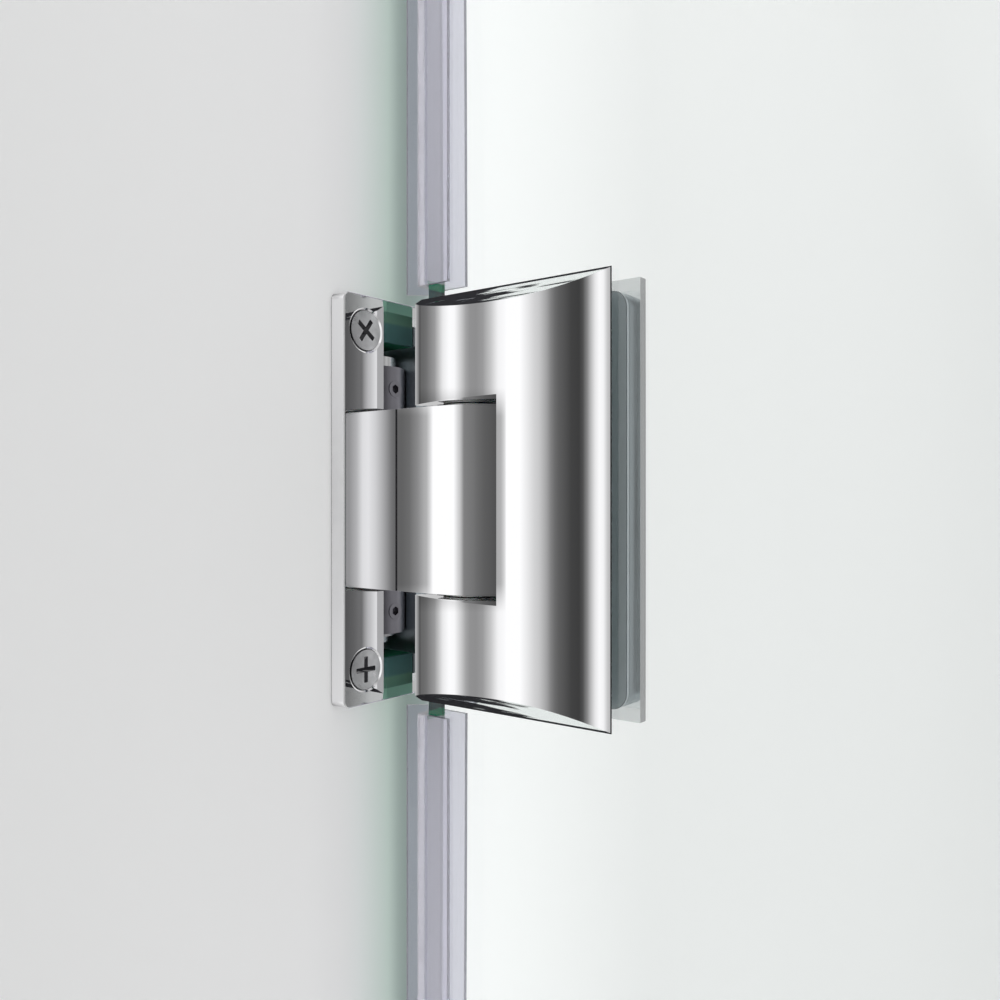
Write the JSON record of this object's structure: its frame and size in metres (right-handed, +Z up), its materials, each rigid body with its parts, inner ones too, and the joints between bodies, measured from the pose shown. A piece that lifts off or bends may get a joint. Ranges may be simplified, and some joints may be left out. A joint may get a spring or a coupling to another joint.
{
  "type": "hinged shower door",
  "caption": "Frameless clear glass shower door hung on polished chrome wall hinges, with clear edge seals, a bottom sweep and a back-to-back pull handle.",
  "frame": {"origin": "centre of the upper hinge's wall screw pattern, on the wall face behind the wall plate", "axes": "+X runs from the wall along the closed door, -Y points to the dry side, +Z is up"},
  "size_m": [0.6769, 0.131, 1.8403],
  "materials": {
    "chrome": "polished",
    "screw_chrome": "polished",
    "zinc_steel": "zinc plated",
    "clamp_steel": "satin",
    "pin_steel": "ground",
    "spring_steel": "oiled",
    "nylon": "smooth",
    "clear_gasket": "clear, soft",
    "clear_vinyl": "clear, flexible",
    "clear_glass": "clear toughened glass with a green edge"
  },
  "bodies": {
    "wall_side": {"lower_block_screws": "zinc_steel", "lower_detent_spring": "spring_steel", "lower_knuckle_block": "chrome", "lower_pivot_bushings": "nylon", "lower_wall_plate": "chrome", "lower_wall_screws": "screw_chrome", "upper_block_screws": "zinc_steel", "upper_detent_spring": "spring_steel", "upper_knuckle_block": "chrome", "upper_pivot_bushings": "nylon", "upper_wall_plate": "chrome", "upper_wall_screws": "screw_chrome"},
    "door": {"bottom_sweep": "clear_vinyl", "glass_panel": "clear_glass", "handle_inner": "chrome", "handle_outer": "chrome", "handle_set_screws": "zinc_steel", "handle_sleeves": "nylon", "handle_studs": "zinc_steel", "handle_washers": "clear_gasket", "hinge_seal_bottom": "clear_vinyl", "hinge_seal_middle": "clear_vinyl", "hinge_seal_top": "clear_vinyl", "lower_clamp_plate": "clamp_steel", "lower_clamp_screws": "zinc_steel", "lower_clamp_sleeves": "nylon", "lower_inner_cover": "chrome", "lower_inner_gasket": "clear_gasket", "lower_outer_cover": "chrome", "lower_outer_gasket": "clear_gasket", "lower_pin_clip": "spring_steel", "lower_pin_set_screws": "zinc_steel", "lower_pivot_pin": "pin_steel", "strike_seal": "clear_vinyl", "upper_clamp_plate": "clamp_steel", "upper_clamp_screws": "zinc_steel", "upper_clamp_sleeves": "nylon", "upper_inner_cover": "chrome", "upper_inner_gasket": "clear_gasket", "upper_outer_cover": "chrome", "upper_outer_gasket": "clear_gasket", "upper_pin_clip": "spring_steel", "upper_pin_set_screws": "zinc_steel", "upper_pivot_pin": "pin_steel"},
    "upper_plunger": {"upper_detent_plunger": "pin_steel"},
    "lower_plunger": {"lower_detent_plunger": "pin_steel"}
  },
  "joints": [
    {"name": "door_swing", "type": "hinge", "parent": "wall_side", "child": "door", "pos_m": [0.02, 0, 0], "axis": [0, 0, 1], "range_deg": [-90, 90]},
    {"name": "upper_detent", "type": "slide", "parent": "wall_side", "child": "upper_plunger", "axis": [1, 0, 0], "range_m": [0, 0.0008], "stiffness_N_per_m": 5000, "springref_m": 0.003},
    {"name": "lower_detent", "type": "slide", "parent": "wall_side", "child": "lower_plunger", "axis": [1, 0, 0], "range_m": [0, 0.0008], "stiffness_N_per_m": 5000, "springref_m": 0.003}
  ],
  "couplings": [
    {"joint": "lower_detent", "follows": "upper_detent", "ratio": 1}
  ]
}
